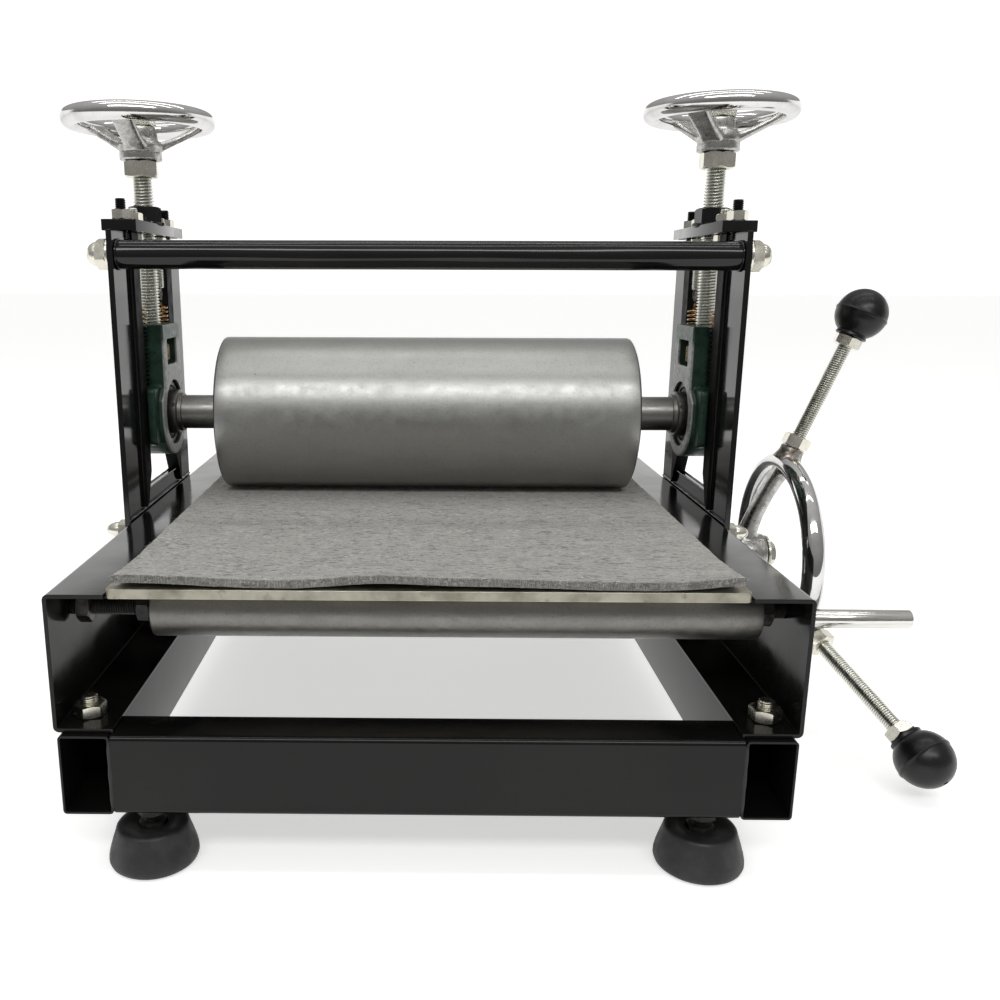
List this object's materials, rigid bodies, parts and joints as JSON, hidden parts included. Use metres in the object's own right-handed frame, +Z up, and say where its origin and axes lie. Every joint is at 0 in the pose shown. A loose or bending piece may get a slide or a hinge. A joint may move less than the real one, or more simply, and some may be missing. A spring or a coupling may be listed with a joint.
{
  "type": "etching press",
  "caption": "Tabletop roller press: felt-covered bed plate driven between two steel rollers by a spoked wheel, with screw-down handwheels on a black steel frame.",
  "frame": {"origin": "centre of the overall box at the level of the surface that the feet stand on", "axes": "+X towards the turning wheel, the user's right; +Y along the bed's travel, away from the user at the front; +Z up"},
  "size_m": [0.6414, 0.55, 0.4782],
  "materials": {
    "black_paint": "high gloss black enamel",
    "zinc": "bright zinc plate",
    "chrome": "polished chrome over a rough casting",
    "machined_steel": "turned, satin",
    "dark_steel": "oiled, dark",
    "bed_steel": "ground plate, oiled",
    "green_casting": "green enamel over a rough casting, inner face bare",
    "copper_wire": "copper-coloured spring wire",
    "rubber": "matte",
    "black_plastic": "semi-gloss",
    "felt": "heathered wool felt"
  },
  "bodies": {
    "frame": {"base_tube_left": "black_paint", "base_tube_right": "black_paint", "base_cross_front": "black_paint", "base_cross_rear": "black_paint", "channel_left": "black_paint", "channel_right": "black_paint", "side_frame_left": "black_paint", "side_frame_right": "black_paint", "cap_left": "black_paint", "cap_right": "black_paint", "tie_bar": "black_paint", "tie_bar_nut_left": "zinc", "tie_bar_nut_right": "zinc", "frame_bolt_front_left": "zinc", "frame_bolt_front_right": "zinc", "frame_bolt_rear_left": "zinc", "frame_bolt_rear_right": "zinc", "base_bolt_front_left": "zinc", "base_bolt_front_right": "zinc", "base_bolt_rear_left": "zinc", "base_bolt_rear_right": "zinc", "foot_stud_front_left": "zinc", "foot_stud_front_right": "zinc", "foot_stud_rear_left": "zinc", "foot_stud_rear_right": "zinc", "foot_pad_front_left": "rubber", "foot_pad_front_right": "rubber", "foot_pad_rear_left": "rubber", "foot_pad_rear_right": "rubber", "drive_bearing_left": "dark_steel", "drive_bearing_right": "dark_steel", "support_axle_front": "dark_steel", "support_axle_rear": "dark_steel", "return_spring_front_left": "copper_wire", "return_spring_front_right": "copper_wire", "return_spring_rear_left": "copper_wire", "return_spring_rear_right": "copper_wire"},
    "bed": {"bed_plate": "bed_steel", "felt_blanket": "felt"},
    "drive": {"drive_roller": "machined_steel", "turning_wheel": "chrome", "handle_rod_1": "zinc", "handle_rod_2": "zinc", "handle_rod_3": "zinc", "knob_1": "black_plastic", "knob_2": "black_plastic", "knob_3": "black_plastic"},
    "support_front": {"support_roller_front": "dark_steel"},
    "support_rear": {"support_roller_rear": "dark_steel"},
    "carriage": {"bearing_housing_left": "green_casting", "bearing_housing_right": "green_casting", "bearing_insert_left": "dark_steel", "bearing_insert_right": "dark_steel"},
    "pressure_roller": {"upper_roller": "machined_steel"},
    "screw_left": {"pressure_screw_left": "zinc", "handwheel_left": "chrome"},
    "screw_right": {"pressure_screw_right": "zinc", "handwheel_right": "chrome"}
  },
  "joints": [
    {"name": "bed_slide", "type": "slide", "parent": "frame", "child": "bed", "axis": [0, 1, 0], "range_m": [-0.2, 0.2]},
    {"name": "drive_turn", "type": "hinge", "parent": "frame", "child": "drive", "pos_m": [-0.04325, 0, 0.1267], "axis": [1, 0, 0], "range_deg": [-255, 255]},
    {"name": "support_front_turn", "type": "hinge", "parent": "frame", "child": "support_front", "pos_m": [-0.04325, -0.223, 0.1542], "axis": [1, 0, 0], "range_deg": [-660, 660]},
    {"name": "support_rear_turn", "type": "hinge", "parent": "frame", "child": "support_rear", "pos_m": [-0.04325, 0.223, 0.1542], "axis": [1, 0, 0], "range_deg": [-660, 660]},
    {"name": "carriage_lift", "type": "slide", "parent": "frame", "child": "carriage", "axis": [0, 0, 1], "range_m": [0, 0.01], "deforming": ["return_spring_front_left", "return_spring_front_right", "return_spring_rear_left", "return_spring_rear_right"]},
    {"name": "upper_roller_turn", "type": "hinge", "parent": "carriage", "child": "pressure_roller", "pos_m": [-0.04325, 0, 0.2433], "axis": [1, 0, 0], "range_deg": [-191.5, 191.5]},
    {"name": "screw_left_turn", "type": "hinge", "parent": "carriage", "child": "screw_left", "pos_m": [-0.26325, 0, 0.4], "axis": [0, 0, 1], "range_deg": [0, 1560]},
    {"name": "screw_right_turn", "type": "hinge", "parent": "carriage", "child": "screw_right", "pos_m": [0.17675, 0, 0.4], "axis": [0, 0, 1], "range_deg": [0, 1560]}
  ],
  "couplings": [
    {"joint": "drive_turn", "follows": "bed_slide", "rad_per_m": -22.222},
    {"joint": "support_front_turn", "follows": "bed_slide", "rad_per_m": -57.143},
    {"joint": "support_rear_turn", "follows": "bed_slide", "rad_per_m": -57.143},
    {"joint": "upper_roller_turn", "follows": "bed_slide", "rad_per_m": 16.667},
    {"joint": "screw_left_turn", "follows": "carriage_lift", "rad_per_m": 2721.1},
    {"joint": "screw_right_turn", "follows": "carriage_lift", "rad_per_m": 2721.1}
  ]
}
